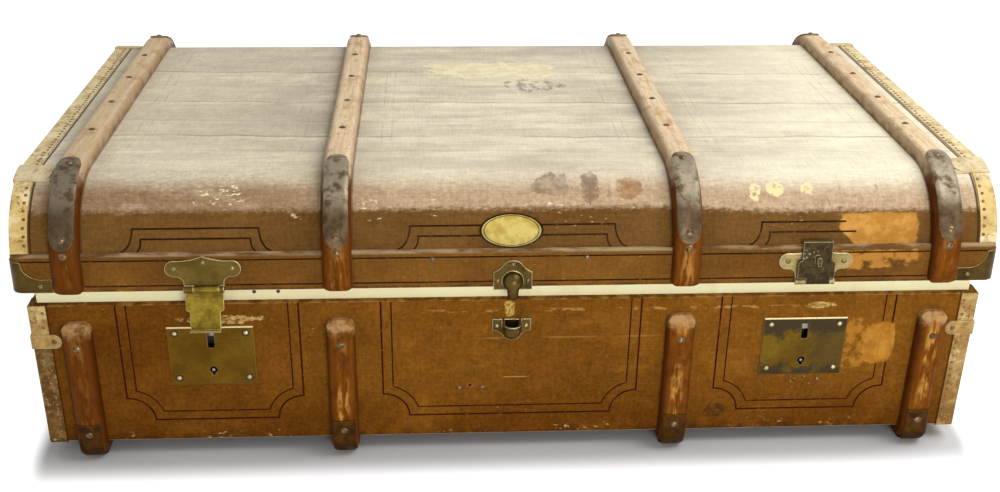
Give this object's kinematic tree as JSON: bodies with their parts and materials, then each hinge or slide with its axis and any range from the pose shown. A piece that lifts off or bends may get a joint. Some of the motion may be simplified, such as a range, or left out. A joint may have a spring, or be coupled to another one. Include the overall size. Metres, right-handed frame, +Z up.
{
  "type": "cabin trunk",
  "caption": "Low flat-topped travelling trunk with rounded shoulders, canvas sides, bent wooden slats, bound edges, hasp locks, a guide dowel and a hinged lid standing ajar.",
  "frame": {"origin": "on the floor under the middle of the trunk", "axes": "+X to the trunk's right seen from the front, -Y out of the front, +Z up"},
  "size_m": [1.036, 0.6411, 0.3252],
  "materials": {
    "canvas": "painted canvas over board, faded on top",
    "board": "plain board",
    "collar_cloth": "cream cloth",
    "slat_wood": "worn varnish",
    "strap_iron": "dull dark iron",
    "nail_iron": "tarnished domed heads",
    "binding": "grimy cream fibre",
    "tab_leather": "tan, worn",
    "brass": "tarnished",
    "steel": "dull",
    "hinge_iron": "dark japanned iron",
    "handle_leather": "worn brown"
  },
  "bodies": {
    "body": {"body_front_panel": "canvas", "body_back_panel": "canvas", "body_left_end": "canvas", "body_right_end": "canvas", "body_floor": "board", "collar_front": "collar_cloth", "collar_back": "collar_cloth", "collar_left": "collar_cloth", "collar_right": "collar_cloth", "body_front_slat_1": "slat_wood", "body_front_slat_2": "slat_wood", "body_front_slat_3": "slat_wood", "body_front_slat_4": "slat_wood", "body_back_slats": "slat_wood", "body_runners": "slat_wood", "slat_shoes": "strap_iron", "body_slat_nails": "nail_iron", "body_binding_left": "binding", "body_binding_right": "binding", "body_binding_clips": "tab_leather", "lock_plate_left": "brass", "lock_plate_right": "brass", "dowel_cup": "brass", "body_rivets": "brass", "handle_loops": "brass", "lock_case_left": "steel", "lock_case_right": "steel", "hinge_pins": "steel", "hinge_body_leaves": "hinge_iron", "handle_strap_left": "handle_leather", "handle_strap_right": "handle_leather"},
    "lid": {"lid_shell": "canvas", "lid_left_end": "canvas", "lid_right_end": "canvas", "valance_front": "canvas", "valance_back": "canvas", "valance_left": "canvas", "valance_right": "canvas", "lid_slat_1": "slat_wood", "lid_slat_2": "slat_wood", "lid_slat_3": "slat_wood", "lid_slat_4": "slat_wood", "lid_slat_straps": "strap_iron", "lid_slat_nails": "nail_iron", "lid_binding_left": "binding", "lid_binding_right": "binding", "lid_binding_clips": "tab_leather", "lid_corner_caps": "brass", "hasp_plate_left": "brass", "hasp_plate_right": "brass", "hasp_pins": "steel", "dowel_peg": "brass", "lid_rivets": "brass", "hinge_lid_leaves": "hinge_iron"},
    "hasp_tongue_left": {"hasp_tongue_left": "brass"},
    "hasp_tongue_right": {"hasp_tongue_right": "brass"},
    "lock_bolt_left": {"lock_bolt_left": "steel"},
    "lock_bolt_right": {"lock_bolt_right": "steel"}
  },
  "joints": [
    {"name": "lid_hinge", "type": "hinge", "parent": "body", "child": "lid", "pos_m": [0, 0.3066, 0.1885], "axis": [-1, 0, 0], "range_deg": [-3.2, 101.8]},
    {"name": "hasp_left_swing", "type": "hinge", "parent": "lid", "child": "hasp_tongue_left", "pos_m": [-0.316, -0.30807, 0.20985], "axis": [-1, 0, 0], "range_deg": [0, 169]},
    {"name": "hasp_right_swing", "type": "hinge", "parent": "lid", "child": "hasp_tongue_right", "pos_m": [0.316, -0.30807, 0.20985], "axis": [-1, 0, 0], "range_deg": [-169, 0]},
    {"name": "bolt_left_slide", "type": "slide", "parent": "body", "child": "lock_bolt_left", "axis": [-1, 0, 0], "range_m": [0, 0.009]},
    {"name": "bolt_right_slide", "type": "slide", "parent": "body", "child": "lock_bolt_right", "axis": [1, 0, 0], "range_m": [0, 0.009]}
  ]
}
